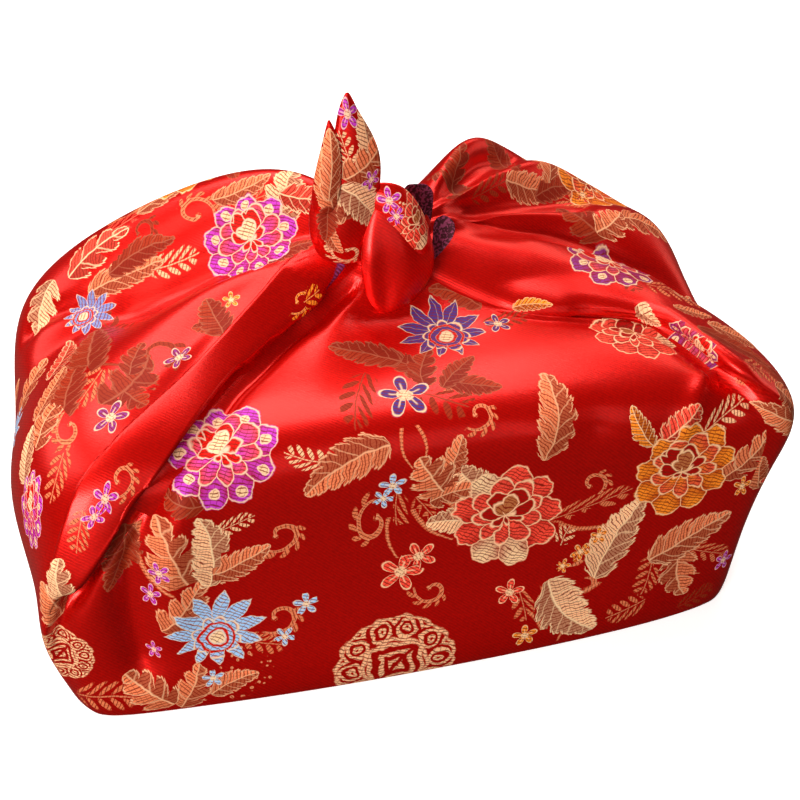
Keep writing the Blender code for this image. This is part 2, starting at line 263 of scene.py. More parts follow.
# The creases that hands and the tie leave in the cloth, laid along its surface.
# A trough sinks, a ridge rises, and a step rises on the left of its line only.
Crease = namedtuple("Crease", "name kind width depth line")
CREASES = [Crease(*row) for row in (
    ("left_valley", "trough", 5.0, 5.0,
     ((-31, 6, 165), (-45, 8, 162), (-57, 10, 158), (-80, 14, 148), (-97, 14, 142),
      (-121, 22, 135))),
    ("left_notch", "trough", 4.0, 3.5,
     ((-112, 24, 140), (-127, 31, 136), (-138, 36, 130), (-147, 38, 124), (-156, 38, 110))),
    ("left_hollow", "trough", 11.0, 2.0,
     ((-40, 24, 172), (-60, 26, 162), (-85, 28, 152), (-110, 30, 143), (-125, 32, 137))),
    ("band_edge", "step", 1.6, 4.0,
     ((-30, 6, 165), (-38, 2, 161), (-51, -8, 155), (-65, -19, 149), (-81, -34, 144),
      (-94, -46, 140), (-107, -56, 137), (-116, -62, 134), (-123, -67, 131), (-130, -71, 127),
      (-136, -75, 122), (-141, -79, 116), (-145, -82, 108), (-150, -84, 94), (-155, -83, 75))),
    ("band_gap", "trough", 3.6, 5.0,
     ((-4, -1, 150), (-12, -4, 148), (-20, -7, 145), (-29, -12, 140), (-38, -16, 137),
      (-48, -24, 135), (-59, -35, 134),
      (-70, -46, 133), (-80, -59, 131), (-90, -69, 127), (-98, -75, 122), (-106, -79, 116),
      (-113, -82, 110), (-119, -83, 103), (-125, -83, 97), (-132, -82, 88), (-138, -80, 78),
      (-144, -79, 69), (-149, -78, 60))),
    ("panel_corner", "trough", 7.5, 8.0,
     ((-98, -76, 119), (-107, -82, 110), (-114, -85, 100), (-120, -85, 87), (-123, -83, 68),
      (-123, -83, 46), (-122, -84, 26), (-121, -85, 10))),
    ("panel_fold", "ridge", 8.0, 3.4,
     ((-91, -78, 121), (-98, -82, 110), (-103, -86, 96), (-106, -86, 76), (-107, -86, 54),
      (-108, -86, 28))),
    ("panel_sag_left", "ridge", 9.0, 2.4, ((58, -75, 126), (48, -82, 118), (43, -85, 100))),
    ("panel_sag_right", "trough", 9.0, 2.6, ((82, -74, 127), (74, -82, 118), (68, -85, 98))),
    ("wing_a", "trough", 5.0, 3.8,
     ((33, 22, 168), (41, 29, 170), (58, 43, 173), (71, 51, 170), (84, 60, 162))),
    ("wing_b", "trough", 5.0, 4.0,
     ((33, 18, 166), (44, 22, 165), (64, 28, 160), (83, 33, 155), (100, 36, 151),
      (118, 40, 146))),
    ("wing_c", "trough", 6.0, 5.5,
     ((37, 16, 165), (51, 17, 162), (69, 18, 155), (85, 19, 150), (97, 18, 146),
      (110, 15, 141), (124, 8, 134), (134, 2, 130), (143, -8, 124), (150, -20, 116))),
    ("wing_c_crest", "ridge", 5.0, 2.0,
     ((60, 8, 158), (85, 9, 150), (105, 5, 143), (122, -4, 136), (136, -18, 130))),
    ("right_roll", "ridge", 5.0, 2.2,
     ((110, -30, 139), (117, -37, 137), (123, -47, 135), (128, -57, 134), (134, -67, 131),
      (139, -73, 128), (145, -78, 124), (151, -82, 120))),
    ("right_gap", "trough", 4.2, 4.5,
     ((74, -27, 139), (91, -32, 137), (107, -37, 134), (117, -45, 132), (124, -55, 128),
      (128, -63, 125), (132, -70, 123), (138, -76, 121), (144, -81, 118), (150, -83, 115))),
    ("right_lip", "step", 1.6, 1.8,
     ((46, -20, 137), (58, -25, 135), (72, -29, 133), (87, -31, 132), (100, -33, 131),
      (108, -38, 131), (117, -44, 131), (125, -58, 128), (131, -69, 125), (138, -77, 121),
      (147, -82, 115))),
    ("lobe_furrow", "trough", 7.0, 1.6,
     ((42, -12, 146), (62, -12, 146), (84, -12, 143), (103, -16, 138))),
    ("corner_facet", "ridge", 3.6, 2.6,
     ((130, -64, 126), (126, -68, 124), (121, -75, 122), (116, -80, 118), (111, -85, 108),
      (109, -86, 96))),
    ("corner_dip", "trough", 6.0, 2.4,
     ((139, -75, 119), (134, -79, 114), (128, -83, 107), (123, -85, 98))),
    ("pocket", "trough", 2.6, 4.5,
     ((-142, -83, 80), (-147, -85, 76), (-150.5, -85.7, 71.5), (-153.9, -84.9, 66),
      (-156.8, -84.1, 61.5), (-159.6, -81.2, 54.9))),
)]


def smooth_line(points, spacing=1.0):
    """Return evenly laid points and headings along a curve through some points."""
    ends = [2 * points[0] - points[1], *points, 2 * points[-1] - points[-2]]
    line = []
    for a, b, c, d in zip(ends, ends[1:], ends[2:], ends[3:]):
        for t in np.linspace(0, 1, max(2, int(np.linalg.norm(c - b) / spacing)), endpoint=False):
            line.append(0.5 * (2 * b + (c - a) * t + (2 * a - 5 * b + 4 * c - d) * t ** 2
                               + (3 * b - a - 3 * c + d) * t ** 3))
    line = np.array(line)
    heading = np.gradient(line, axis=0)
    return line, heading / np.linalg.norm(heading, axis=1)[:, None]


def read(items, name, width=3, kind=float):
    """Return one property of every vertex, face or corner, a row for each."""
    values = np.zeros(len(items) * width, kind)
    items.foreach_get(name, values)
    return values.reshape(-1, width)


def eased(share):
    """Return a share between 0 and 1 with a soft start and end."""
    share = np.clip(share, 0, 1)
    return share * share * (3 - 2 * share)


places, normals = read(skin.vertices, "co"), read(skin.vertices, "normal")
lift = np.zeros(len(places))
# A step fades over some millimetres.  The ends and the reach of the other
# creases are as many times their width.
STEP_FADE, CREASE_TAPER = 14.0, 3.0
CREASE_REACH, CREASE_POWER = 4.0, 1.5
for row in CREASES:
    line, heading = smooth_line(np.array(row.line, float))
    reach = CREASE_REACH * row.width + (STEP_FADE * 2 if row.kind == "step" else 0)
    inside = (places > line.min(0) - reach) & (places < line.max(0) + reach)
    near = np.flatnonzero(np.all(inside, axis=1))
    offset = places[near, None, :] - line[None, :, :]
    distance = np.linalg.norm(offset, axis=2)
    closest = distance.argmin(1)
    pick = np.arange(len(near))
    distance, offset = distance[pick, closest], offset[pick, closest]
    taper_length = STEP_FADE if row.kind == "step" else CREASE_TAPER * row.width
    taper = eased(np.minimum(closest, len(line) - 1 - closest) / taper_length)
    if row.kind == "step":
        left = np.einsum("ij,ij->i", offset, np.cross(normals[near], heading[closest]))
        shape = eased(left / row.width + 0.5) * np.exp(-np.maximum(left, 0) / STEP_FADE)
        lift[near] += row.depth * shape * taper
    else:
        shape = np.exp(-(distance / row.width) ** CREASE_POWER)
        lift[near] += (row.depth if row.kind == "ridge" else -row.depth) * shape * taper
places = places + normals * lift[:, None]
places[:, 2] = np.maximum(places[:, 2], 0)


# ---------------------------------------------------------------- the knot
# The two side corners cross and tie over the box.  One stands up as a pointed
# leaf, one turns back to show the wrong side, and a band loops round both.
KNOT_LEVELS = 3
FACING_FRONT, FACING_UP_RIGHT, FACING_BACK = (-0.15, -0.9, 0.4), (0.3, -0.8, 0.5), (0, 1, 0.15)
# A strip of cloth is cut across again and again, from one end to the other: its
# left and right edge, how far it bulges, how thick it is and how deep its crease.
Strip = namedtuple("Strip", "left right bulge thickness crease")
KNOT_FOLDS = (
    ("tall_tail", TAIL, FACING_FRONT, (
        ((-20, -5, 161.5), (-8, -5, 160.5), 2, 7, 0.0),
        ((-25, -6, 165), (-5, -6, 163.5), 4, 9, 0.1),
        ((-28, -7, 170), (-4, -7, 169), 5, 11, 0.3),
        ((-30, -7, 176), (-3.5, -7, 175), 6, 12, 0.4),
        ((-30.5, -6, 184), (-1, -6, 184), 6, 11, 0.5),
        ((-28.5, -5, 195), (1, -5, 195), 5, 9, 0.6),
        ((-25, -4, 206), (2, -4, 207), 4, 7, 0.6),
        ((-20.5, -3, 214), (-0.5, -3, 216), 3.5, 5, 0.5),
        ((-17, -2, 221), (-4, -2, 223), 3, 4, 0.4),
        ((-16, -1, 228), (-8, -1, 230), 2, 3, 0.2),
        ((-12.5, 0, 236), (-10, 0, 236), 0.5, 1.5, 0.0))),
    ("tail_corner", TAIL, FACING_FRONT, (
        ((-29.5, -6, 186), (-18, -9, 188), 3, 5, 0.0),
        ((-28, -6, 200), (-16.5, -9, 200), 3, 5, 0.0),
        ((-25.5, -5, 209), (-15.5, -7, 210), 2.5, 4, 0.0),
        ((-22.3, -3, 218), (-16, -5, 219), 1.5, 3, 0.0),
        ((-19.9, -1, 225.5), (-18.4, -1, 225.5), 0.3, 1, 0.0))),
    ("front_band", LOOP, FACING_UP_RIGHT, (
        ((-6, -4, 185), (-4, -2, 196), 2, 6, 0.0),
        ((0, -8, 183), (4, -4, 197), 3, 6, 0.0),
        ((5, -11, 178), (11, -5, 194.5), 4, 7, 0.0),
        ((9, -12.5, 172), (17, -5, 186), 4, 7, 0.0),
        ((11.5, -13, 167), (20.5, -6, 177), 3.5, 7, 0.0),
        ((14.5, -12.5, 163), (22.5, -6, 169), 3, 6, 0.0),
        ((16, -10, 159), (23, -5, 161), 1.5, 4, 0.0))),
    ("front_lobe", LOBE, FACING_FRONT, (
        ((-4, -5, 186), (6, -4, 190), 2, 6, 0.0),
        ((-8, -8, 177), (16, -6, 180), 4, 9, 0.2),
        ((-9.5, -11, 169), (22, -7, 172), 6, 12, 0.5),
        ((-10, -12.5, 161.5), (23.5, -9, 163), 7, 13, 0.7),
        ((-9.5, -13, 154), (23, -11, 155), 6.5, 12, 0.8),
        ((-7.8, -13.5, 147.5), (18, -12.5, 148), 5.5, 10, 0.8),
        ((-5, -14, 142.5), (12, -14, 143), 4, 7, 0.6),
        ((-2, -14.5, 139.8), (6, -14.5, 140), 2, 4, 0.2))),
    ("short_tail", WRONG_SIDE, FACING_FRONT, (
        ((13, 8, 188), (26.5, 8, 186.6), 0.6, 2, 0.0),
        ((14, 8, 181), (27.3, 8, 180), 0.8, 2.5, 0.0),
        ((15, 6, 174), (26.3, 7, 172), 1, 3, 0.0),
        ((17, 4, 167), (24.5, 5, 166), 0.5, 3, 0.0))),
    ("short_tail_curl", WRONG_SIDE, FACING_FRONT, (
        ((26, 4, 171.5), (32, 5, 173), -0.5, 1.5, 0.0),
        ((25, 1, 168), (36, 3, 169), -1.5, 1.8, 0.0),
        ((24, -1, 162), (34.8, 1, 163.5), -1.8, 1.8, 0.0),
        ((23.5, -2, 157.5), (29, 0, 157.5), -1, 1.8, 0.0),
        ((23.5, -2, 154), (24.5, -1, 154), 0, 1, 0.0))),
    ("back_band", LOBE, FACING_BACK, (
        ((-18, 5, 160), (-17, 5, 176), 2, 6, 0.0),
        ((-9, 15, 160), (-7, 13, 180), 3, 7, 0.0),
        ((4, 20, 161), (5, 17, 183), 3, 8, 0.0),
        ((17, 17, 161), (17, 14, 181), 3, 7, 0.0),
        ((25, 6, 160), (25, 5, 174), 2, 6, 0.0))),
)
# Where a fold's front dips and swells, from its left edge to its right, and how
# far its front and back stand off.
CREASE_AT, SWELL_AT, BACK_AT = 0.3, 0.62, (0.7, 0.3)
SMALL_SWELL, SWELL, BACK = 0.65, 1.15, 0.7
LEFT_EDGE, RIGHT_EDGE = 0, 4  # their places in a ring of the fold
EDGE_HARDNESS = 0.85
KNOT_MIDDLE, KNOT_HALF_SIZE = Vector((4, 4, 168)), Vector((19, 14, 16))
KNOT_SEGMENTS, KNOT_RINGS = 32, 20


def folded_strip(name, rows, facing):
    """Return one flat fold of the knot: bulging in front, hollow along its crease."""
    out = Vector(facing).normalized()
    rings = []
    for row in rows:
        left, right = Vector(row.left), Vector(row.right)
        rings.append([left,
                      left.lerp(right, CREASE_AT / 2) + out * row.bulge * SMALL_SWELL,
                      left.lerp(right, CREASE_AT) + out * row.bulge * (1 - row.crease),
                      left.lerp(right, SWELL_AT) + out * row.bulge * SWELL,
                      right,
                      *(left.lerp(right, at) - out * row.thickness * BACK for at in BACK_AT)])
    ends = [(Vector(row.left) + Vector(row.right)) / 2 for row in (rows[0], rows[-1])]
    strip = ringed_mesh(rings, *ends)
    hardness = strip.edges.layers.float.new("crease_edge")
    strip.verts.ensure_lookup_table()
    around = len(rings[0])
    for step in range(len(rows) - 1):
        for edge in (LEFT_EDGE, RIGHT_EDGE):
            low, high = strip.verts[step * around + edge], strip.verts[(step + 1) * around + edge]
            strip.edges.get((low, high))[hardness] = EDGE_HARDNESS
    return rounded(name, strip, KNOT_LEVELS)


knot_folds = [(region, folded_strip(name, [Strip(*row) for row in rows], facing))
              for name, region, facing, rows in KNOT_FOLDS]


def on_middle(tilt, turn):
    """Return a point of the ball of cloth in the middle of the knot."""
    away = Vector((sin(tilt) * cos(turn), sin(tilt) * sin(turn), cos(tilt)))
    return KNOT_MIDDLE + KNOT_HALF_SIZE * away


tilts = np.linspace(0, tau / 2, KNOT_RINGS + 1)
turns = np.linspace(0, tau, KNOT_SEGMENTS, endpoint=False)
ball = ringed_mesh([[on_middle(tilt, turn) for turn in turns] for tilt in tilts[1:-1]],
                   on_middle(tilts[0], 0), on_middle(tilts[-1], 0))
middle = bpy.data.meshes.new("knot_middle")
ball.to_mesh(middle)
ball.free()
knot_folds.append((LOBE, middle))


# ---------------------------------------------------------------- the layers underneath
# Before the side corners are tied, the front and back corners lie over the top
# of the box and hang down inside, and the ends are folded in like a parcel's.
LAYER_STEP, LAYER_COLUMNS = 6.0, 41
GUSSET_ROWS, GUSSET_COLUMNS, GUSSET_EDGE = 12, 14, 76
# Each path runs in y and z.  A flap has a half width at each of its points, and a
# gusset stands that far from the middle.
Layer = namedtuple("Layer", "name path half_widths")
FLAPS = [Layer(*row) for row in (
    ("back_corner",
     ((76, 112), (74, 119), (68, 121), (-66, 121), (-74, 119), (-78, 112), (-80, 12)),
     (132, 132, 132, 132, 130, 122, 6)),
    ("front_corner", ((-10, 124), (64, 124), (74, 122), (80, 114), (80, 12)),
     (118, 128, 128, 120, 6)),
)]
GUSSETS = [Layer(*row) for row in (
    ("left_gusset_front", ((-76, 12), (-20, 60), (-6, 110)), (-145, -145, -143)),
    ("left_gusset_back", ((76, 12), (20, 60), (6, 110)), (-141, -141, -139)),
    ("right_gusset_front", ((-76, 12), (-20, 60), (-6, 108)), (145, 145, 141)),
    ("right_gusset_back", ((76, 12), (20, 60), (6, 108)), (141, 141, 137)),
)]


def grid_mesh(name, rows):
    """Return an open sheet from equal rows of points."""
    sheet = bmesh.new()
    made = [[sheet.verts.new(point) for point in row] for row in rows]
    for low, high in zip(made, made[1:]):
        for a, b, c, d in zip(low, low[1:], high[1:], high):
            sheet.faces.new((a, b, c, d))
    data = bpy.data.meshes.new(name)
    sheet.to_mesh(data)
    sheet.free()
    return data


def part_way(start, end, share):
    """Return the point that lies a share of the way from one point to another."""
    return [a + (b - a) * share for a, b in zip(start, end)]


hidden = []
for layer in FLAPS:
    rows = []
    path, widths = layer.path, layer.half_widths
    for p, q, a, b in zip(path, path[1:], widths, widths[1:]):
        steps = max(1, round(hypot(q[0] - p[0], q[1] - p[1]) / LAYER_STEP))
        for t in np.linspace(0, 1, steps, endpoint=False):
            y, height, half = part_way((*p, a), (*q, b), t)
            rows.append([(x, y, height) for x in np.linspace(-half, half, LAYER_COLUMNS)])
    hidden.append((HIDDEN, grid_mesh(layer.name, rows)))
for layer in GUSSETS:
    rows = []
    edge = copysign(GUSSET_EDGE, layer.path[0][0])
    for p, q, x in zip(layer.path, layer.path[1:], layer.half_widths):
        for t in np.linspace(0, 1, GUSSET_ROWS, endpoint=False):
            inner, height = part_way(p, q, t)
            rows.append([(x, y, height) for y in np.linspace(edge, inner, GUSSET_COLUMNS)])
    hidden.append((HIDDEN, grid_mesh(layer.name, rows)))


# ---------------------------------------------------------------- one cloth
# Panel, wings, knot and the layers underneath belong to one square, so they make
# one mesh.  Each face keeps its region, for the pattern below.
corners, loops, regions = [places], [], []
start = len(places)
for face in skin.polygons:
    loops.append(tuple(face.vertices))
    regions.append(face.material_index)
for region, data in knot_folds + hidden:
    corners.append(read(data.vertices, "co"))
    for face in data.polygons:
        loops.append(tuple(v + start for v in face.vertices))
        regions.append(region)
    start += len(data.vertices)
cloth_mesh = bpy.data.meshes.new("brocade_cloth")
cloth_mesh.from_pydata(np.concatenate(corners) * MM, [], loops)
cloth_mesh.shade_smooth()
cloth = bpy.data.objects.new("brocade_cloth", cloth_mesh)
bpy.context.scene.collection.objects.link(cloth)


# ---------------------------------------------------------------- the woven pattern
# Flowers, leaves and sprigs are brocaded into the satin with coloured and gold
# threads.  Each motif lies along the cloth around its centre, and what hides
# under a fold stays hidden.
Motif = namedtuple("Motif", "kind x y z size width turn tint")
FLOWERS = ("peony", "lotus", "roundel", "bloom")
LEAVES = ("leaf", "lobed")
SPRIGS = ("scroll", "spray", "berries", "stem", "hemline")
TINTS = {
    "coral": (1.0, 0.075, 0.045), "orange": (1.0, 0.28, 0.02), "purple": (0.58, 0.045, 0.60),
    "sky": (0.36, 0.62, 1.0), "navy": (0.07, 0.03, 0.24), "gold": (0.78, 0.20, 0.085),
    "pale": (1.0, 0.55, 0.31), "bronze": (0.34, 0.028, 0.007), "plum": (0.28, 0.03, 0.24),
    "slate": (0.20, 0.26, 0.62),
}
# A motif's centre is at x, y, z and its size is half its length, in millimetres.
# Its width is a share of its size, and it is turned by degrees from upright.
MOTIFS = [Motif(*row) for row in (
    # the front, from the left corner to the right
    ("roundel", -154.5, -79.5, 38, 15, 1, 0, "pale"),
    ("lobed", -121, -87, 15, 14, 0.78, 320, "gold"),
    ("lobed", -104, -88, 14, 13, 0.72, 25, "gold"),
    ("leaf", -85, -89, 12, 11, 0.65, 70, "gold"),
    ("berries", -76, -88, 18, 10, 0.9, 0, "gold"),
    ("bloom", -94, -88, 17, 5, 1, 0, "sky"),
    ("bloom", -119, -86, 34, 5, 0.8, 20, "purple"),
    ("lobed", -103, -85, 58, 15, 0.72, 30, "gold"),
    ("lotus", -91, -86, 41, 22, 1, 15, "sky"),
    ("scroll", -63, -86, 44, 13, 1, 60, "gold"),
    ("bloom", -52, -86, 48, 6, 1, 0, "sky"),
    ("bloom", -62, -87, 33, 5, 1, 40, "sky"),
    ("spray", -72, -87, 32, 11, 0.6, 110, "gold"),
    ("leaf", -92, -84, 84, 19, 0.55, 352, "pale"),
    ("lobed", -104, -84, 86, 20, 0.65, 340, "gold"),
    ("leaf", -79, -84, 76, 15, 0.59, 68, "gold"),
    ("leaf", -125, -86, 88, 16, 0.59, 190, "bronze"),
    ("spray", -79, -84, 96, 9, 0.6, 70, "pale"),
    ("scroll", -60, -84, 87, 13, 1, 60, "gold"),
    ("bloom", -111, -86, 78, 6, 0.8, 0, "purple"),
    ("bloom", -117, -86, 66, 6, 0.8, 30, "purple"),
    ("lobed", -98, -82, 112, 10, 0.78, 300, "bronze"),
    ("stem", -113, -85, 83, 19, 1, 177, "gold"),
    ("berries", -84, -88, 26, 10, 0.8, 0, "gold"),
    ("peony", -80, -74, 125, 23, 1, 0, "purple"),
    # the front's middle
    ("roundel", -15, -92, 8, 27, 1, 0, "pale"),
    ("leaf", -32, -82, 113, 20, 0.55, 245, "gold"),
    ("bloom", -14, -83, 103, 6, 1, 0, "sky"),
    ("bloom", -18, -84, 97, 5, 1, 30, "sky"),
    ("spray", -47, -80, 121, 10, 0.6, 290, "pale"),
    ("lobed", 3, -84, 104, 12, 1, 330, "gold"),
    ("leaf", 9, -84, 110, 13, 0.59, 30, "gold"),
    ("lobed", 12, -84, 93, 11, 0.65, 80, "gold"),
    ("scroll", -22, -84, 84, 17, 0.7, 190, "gold"),
    ("spray", -11, -84, 83, 16, 0.4, 175, "gold"),
    ("spray", 2, -84, 84, 13, 0.5, 150, "gold"),
    ("bloom", -11, -85, 56, 10, 1, 20, "coral"),
    ("bloom", -3, -85, 63, 8, 1, 50, "coral"),
    ("scroll", 3, -87, 44, 11, 1, 120, "gold"),
    ("peony", 35, -84, 77, 26, 1, 10, "coral"),
    ("leaf", 21, -84, 98, 13, 0.78, 320, "pale"),
    ("leaf", 12, -84, 78, 12, 0.78, 280, "pale"),
    ("stem", -13, -84, 79, 15, 0.8, 178, "gold"),
    ("stem", 3, -84, 80, 14, 0.9, 141, "gold"),
    ("stem", 9, -84, 84, 13, -0.9, 148, "gold"),
    ("stem", -7, -80, 118, 9, 0.9, 170, "gold"),
    ("stem", -2, -80, 118, 9, -0.9, 178, "gold"),
    ("leaf", 53, -79, 123, 20, 0.52, 8, "gold"),
    ("scroll", 72, -85, 88, 11, 1, 20, "gold"),
    ("spray", 72, -85, 76, 19, 0.35, 75, "gold"),
    ("spray", 62, -86, 60, 10, 0.6, 20, "pale"),
    ("spray", 68, -87, 48, 14, 0.6, 60, "orange"),
    ("bloom", 37, -88, 36, 7, 1, 10, "coral"),
    ("spray", 43, -89, 24, 13, 0.5, 170, "gold"),
    ("bloom", 44, -91, 11, 6, 1, 0, "orange"),
    ("stem", 68, -88, 36, 17, 1.4, 83, "gold"),
    ("stem", 56, -90, 18, 15, -1.3, 164, "gold"),
    ("stem", 73, -85, 67, 15, 0.9, 94, "gold"),
    ("stem", 46, -90, 17, 13, -0.9, 154, "gold"),
    ("stem", 66, -86, 50, 15, 1.2, 53, "gold"),
    ("leaf", 66, -90, 22, 20, 0.72, 145, "pale"),
    ("leaf", 86, -86, 55, 22, 0.55, 28, "pale"),
    ("scroll", 68, -88, 33, 20, 0.6, 65, "gold"),
    # the front's right
    ("peony", 113, -86, 87, 24, 1, 0, "orange"),
    ("leaf", 120, -86, 48, 21, 0.55, 62, "gold"),
    ("lobed", 119, -86, 27, 14, 0.78, 165, "gold"),
    ("spray", 101, -87, 31, 11, 0.7, 190, "gold"),
    ("spray", 130, -86, 37, 13, 0.5, 110, "gold"),
    ("lobed", 141, -86, 90, 15, 0.65, 40, "gold"),
    ("spray", 131, -83, 111, 12, 0.6, 60, "pale"),
    ("leaf", 110, -84, 112, 11, 0.78, 55, "coral"),
    ("leaf", 93, -82, 112, 11, 0.52, 335, "orange"),
    ("bloom", 142, -86, 72, 6, 0.7, 0, "orange"),
    ("bloom", 140, -85, 28, 6, 0.8, 0, "purple"),
    ("leaf", 150, -84, 78, 10, 0.65, 350, "gold"),
    ("stem", 120, -86, 31, 10, 1, 125, "gold"),
    ("stem", 111, -86, 40, 12, -1, 145, "gold"),
    ("spray", 92, -89, 14, 10, 0.8, 250, "gold"),
    ("spray", 128, -86, 10, 10, 0.7, 60, "bronze"),
    # the front's top, up to the knot
    ("bloom", -4, -64, 132, 11, 1, 0, "navy"),
    ("leaf", -14, -36, 135, 16, 0.59, 300, "bronze"),
    ("leaf", -3, -45, 135, 14, 0.52, 320, "bronze"),
    ("leaf", 21, -55, 134, 12, 0.52, 50, "bronze"),
    ("leaf", 24, -62, 132, 13, 0.55, 110, "bronze"),
    ("lobed", 9, -50, 134, 12, 0.65, 20, "bronze"),
    ("spray", 14, -70, 130, 14, 0.7, 120, "bronze"),
    ("spray", -22, -62, 132, 15, 0.6, 200, "bronze"),
    ("scroll", 24, -75, 126, 10, 1, 60, "gold"),
    ("lotus", 21, -30, 136, 20, 1, 0, "navy"),
    ("leaf", 31, -13, 141, 12, 0.59, 300, "bronze"),
    ("bloom", 46, -28, 134, 6, 1, 0, "navy"),
    ("peony", 103, -43, 130, 19, 1, 0, "coral"),
    ("stem", 15, -59, 133, 13, 1, 46, "gold"),
    ("spray", 50, -26, 134, 11, 0.5, 90, "bronze"),
    # the band from the left corner to the knot
    ("hemline", -23, -4, 150, 12, 1, 192, "plum"),
    ("scroll", -36, -11, 150, 9, 0.8, 50, "orange"),
    ("spray", -32, -10, 150, 11, 0.5, 60, "orange"),
    ("scroll", -120, -78, 124, 10, 0.8, 30, "gold"),
    ("bloom", -127, -82, 118, 7, 0.7, 20, "purple"),
    ("bloom", -132, -84, 112, 6, 0.7, 60, "purple"),
    ("lobed", -147, -85, 84, 13, 0.65, 20, "pale"),
    ("spray", -138, -84, 106, 9, 0.6, 200, "gold"),
    ("leaf", -156, -84, 68, 12, 0.78, 10, "gold"),
    # the left wing
    ("peony", -50, 24, 161, 21, 1, 0, "purple"),
    ("leaf", -36, 10, 163, 12, 0.52, 70, "bronze"),
    ("lobed", -31, 29, 178, 14, 0.72, 20, "pale"),
    ("leaf", -24, 26, 176, 13, 0.59, 110, "coral"),
    ("leaf", -50, 40, 178, 14, 0.45, 75, "gold"),
    ("spray", -43, 34, 174, 10, 0.6, 80, "gold"),
    ("scroll", -72, 41, 168, 13, 0.9, 300, "gold"),
    ("leaf", -96, 38, 151, 17, 0.45, 70, "bronze"),
    ("leaf", -105, 32, 147, 18, 0.45, 75, "gold"),
    ("spray", -84, 31, 151, 12, 0.6, 80, "pale"),
    ("lobed", -114, 48, 150, 17, 0.65, 55, "coral"),
    ("spray", -100, 55, 158, 13, 0.6, 60, "coral"),
    ("scroll", -93, 48, 157, 12, 0.8, 30, "bronze"),
    ("lotus", -124, 27, 134, 14, 0.8, 80, "slate"),
    ("lobed", -142, 42, 130, 13, 0.78, 200, "pale"),
    ("spray", -113, 14, 137, 14, 0.6, 300, "bronze"),
    ("leaf", -124, -2, 133, 20, 0.65, 330, "bronze"),
    ("lobed", -112, -32, 136, 15, 0.91, 40, "bronze"),
    ("lobed", -106, -22, 138, 9, 0.78, 20, "bronze"),
    ("lobed", -110, -42, 134, 9, 0.91, 140, "bronze"),
    ("scroll", -98, -22, 140, 17, 0.9, 60, "bronze"),
    ("bloom", -90, -27, 142, 7, 0.8, 40, "plum"),
    ("stem", -102, -28, 140, 13, 1, 166, "bronze"),
    ("stem", -120, -10, 134, 20, 1, 110, "bronze"),
    ("leaf", -72, -12, 147, 11, 0.78, 340, "bronze"),
    ("leaf", -75, -17, 145, 8, 0.65, 280, "bronze"),
    ("bloom", -64, -6, 151, 4, 1, 0, "orange"),
    ("bloom", -120, -50, 131, 9, 0.8, 20, "plum"),
    ("spray", -126, -28, 132, 16, 0.5, 200, "gold"),
    ("leaf", -134, -24, 130, 18, 0.59, 345, "bronze"),
    ("leaf", -142, -16, 123, 15, 0.52, 350, "gold"),
    ("lobed", -144, -36, 124, 13, 0.78, 10, "gold"),
    ("scroll", -136, -48, 126, 14, 0.7, 160, "gold"),
    ("leaf", -138, 8, 125, 13, 0.59, 340, "coral"),
    ("peony", -153, -60, 100, 17, 0.55, 5, "purple"),
    ("leaf", -154, -40, 112, 13, 0.52, 350, "pale"),
    ("spray", -144, -62, 118, 12, 0.6, 190, "gold"),
    ("lobed", -150, 8, 112, 14, 0.65, 0, "gold"),
    ("lotus", -161, -8, 97, 15, 0.9, 0, "sky"),
    # the right wing
    ("lobed", 50, 36, 176, 13, 0.65, 20, "bronze"),
    ("leaf", 72, 52, 172, 13, 0.65, 330, "bronze"),
    ("lobed", 44, 24, 168, 9, 1.2, 60, "bronze"),
    ("spray", 62, 34, 166, 13, 0.5, 70, "bronze"),
    ("leaf", 84, 42, 161, 16, 0.59, 100, "gold"),
    ("leaf", 96, 47, 153, 12, 0.65, 80, "bronze"),
    ("bloom", 112, 52, 146, 6, 1, 0, "orange"),
    ("spray", 104, 44, 150, 11, 0.6, 300, "gold"),
    ("lobed", 105, 28, 149, 14, 0.78, 320, "bronze"),
    ("lobed", 118, 28, 146, 10, 1, 60, "gold"),
    ("lobed", 136, 30, 138, 15, 0.65, 120, "gold"),
    ("peony", 107, -1, 141, 22, 1, 0, "plum"),
    ("spray", 109, -17, 138, 8, 0.8, 180, "bronze"),
    ("spray", 130, -22, 134, 14, 0.7, 140, "gold"),
    ("leaf", 142, -10, 124, 16, 0.52, 130, "gold"),
    ("leaf", 132, -36, 132, 10, 0.52, 120, "gold"),
    ("peony", 128, -54, 131, 15, 0.8, 130, "plum"),
    ("leaf", 112, -36, 134, 7, 0.65, 150, "pale"),
    ("leaf", 63, -23, 138.5, 9, 0.4, 95, "orange"),
    ("leaf", 143, -58, 127, 19, 0.39, 140, "bronze"),
    ("leaf", 150, -46, 124, 16, 0.52, 130, "gold"),
    ("spray", 150, -72, 121, 13, 0.6, 120, "gold"),
    ("lobed", 160, -80, 112, 10, 0.91, 140, "gold"),
    # the knot
    ("leaf", -20, -8, 199, 17, 0.39, 352, "gold"),
    ("leaf", -23, -8, 184, 8, 0.65, 190, "bronze"),
    ("leaf", -14, -9, 195, 11, 0.59, 22, "bronze"),
    ("leaf", -8, -9, 188, 14, 0.65, 128, "pale"),
    ("lobed", -10, -9, 197, 11, 0.78, 60, "bronze"),
    ("lobed", -6, -5, 210, 12, 0.78, 40, "gold"),
    ("leaf", -4, -4, 221, 10, 0.52, 345, "pale"),
    ("leaf", -21, -8, 209, 15, 0.38, 8, "gold"),
    ("bloom", -12, -3, 228, 7, 0.7, 0, "purple"),
    ("spray", -13, -4, 213, 9, 0.5, 350, "pale"),
    ("leaf", -20, -10, 176, 7, 0.52, 165, "gold"),
    ("scroll", -14, -10, 169, 11, 0.9, 130, "pale"),
